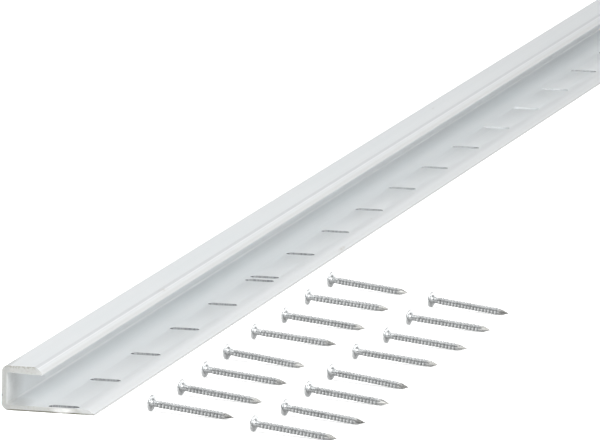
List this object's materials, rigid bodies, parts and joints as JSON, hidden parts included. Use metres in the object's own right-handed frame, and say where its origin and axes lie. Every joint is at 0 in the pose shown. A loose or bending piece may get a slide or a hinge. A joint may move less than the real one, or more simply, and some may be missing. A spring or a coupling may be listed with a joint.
{
  "type": "door sweep",
  "caption": "Rigid white channel strip for a door's bottom edge: upright web, short lip, wide flange slotted across for adjustment, with loose ring-shank nails.",
  "frame": {"origin": "on the underside of the flange, on the slot row's centre line, at mid-length", "axes": "+X across the flange, away from the web; +Y along the strip, away from the end whose cut passes through a slot; +Z out of the flange, towards the lip"},
  "size_m": [0.1201, 0.9329, 0.0149],
  "materials": {
    "white_vinyl": "satin extruded rigid vinyl",
    "zinc_steel": "bright zinc-coated steel"
  },
  "bodies": {
    "strip": {"channel_strip": "white_vinyl"},
    "nail_01": {"nail_01": "zinc_steel"},
    "nail_02": {"nail_02": "zinc_steel"},
    "nail_03": {"nail_03": "zinc_steel"},
    "nail_04": {"nail_04": "zinc_steel"},
    "nail_05": {"nail_05": "zinc_steel"},
    "nail_06": {"nail_06": "zinc_steel"},
    "nail_07": {"nail_07": "zinc_steel"},
    "nail_08": {"nail_08": "zinc_steel"},
    "nail_09": {"nail_09": "zinc_steel"},
    "nail_10": {"nail_10": "zinc_steel"},
    "nail_11": {"nail_11": "zinc_steel"},
    "nail_12": {"nail_12": "zinc_steel"},
    "nail_13": {"nail_13": "zinc_steel"},
    "nail_14": {"nail_14": "zinc_steel"},
    "nail_15": {"nail_15": "zinc_steel"},
    "nail_16": {"nail_16": "zinc_steel"}
  },
  "joints": [
    {"name": "nail_01_lift", "type": "slide", "parent": "strip", "child": "nail_01", "axis": [0, 0, 1], "range_m": [0, 0.04]},
    {"name": "nail_02_lift", "type": "slide", "parent": "strip", "child": "nail_02", "axis": [0, 0, 1], "range_m": [0, 0.04]},
    {"name": "nail_03_lift", "type": "slide", "parent": "strip", "child": "nail_03", "axis": [0, 0, 1], "range_m": [0, 0.04]},
    {"name": "nail_04_lift", "type": "slide", "parent": "strip", "child": "nail_04", "axis": [0, 0, 1], "range_m": [0, 0.04]},
    {"name": "nail_05_lift", "type": "slide", "parent": "strip", "child": "nail_05", "axis": [0, 0, 1], "range_m": [0, 0.04]},
    {"name": "nail_06_lift", "type": "slide", "parent": "strip", "child": "nail_06", "axis": [0, 0, 1], "range_m": [0, 0.04]},
    {"name": "nail_07_lift", "type": "slide", "parent": "strip", "child": "nail_07", "axis": [0, 0, 1], "range_m": [0, 0.04]},
    {"name": "nail_08_lift", "type": "slide", "parent": "strip", "child": "nail_08", "axis": [0, 0, 1], "range_m": [0, 0.04]},
    {"name": "nail_09_lift", "type": "slide", "parent": "strip", "child": "nail_09", "axis": [0, 0, 1], "range_m": [0, 0.04]},
    {"name": "nail_10_lift", "type": "slide", "parent": "strip", "child": "nail_10", "axis": [0, 0, 1], "range_m": [0, 0.04]},
    {"name": "nail_11_lift", "type": "slide", "parent": "strip", "child": "nail_11", "axis": [0, 0, 1], "range_m": [0, 0.04]},
    {"name": "nail_12_lift", "type": "slide", "parent": "strip", "child": "nail_12", "axis": [0, 0, 1], "range_m": [0, 0.04]},
    {"name": "nail_13_lift", "type": "slide", "parent": "strip", "child": "nail_13", "axis": [0, 0, 1], "range_m": [0, 0.04]},
    {"name": "nail_14_lift", "type": "slide", "parent": "strip", "child": "nail_14", "axis": [0, 0, 1], "range_m": [0, 0.04]},
    {"name": "nail_15_lift", "type": "slide", "parent": "strip", "child": "nail_15", "axis": [0, 0, 1], "range_m": [0, 0.04]},
    {"name": "nail_16_lift", "type": "slide", "parent": "strip", "child": "nail_16", "axis": [0, 0, 1], "range_m": [0, 0.04]}
  ]
}
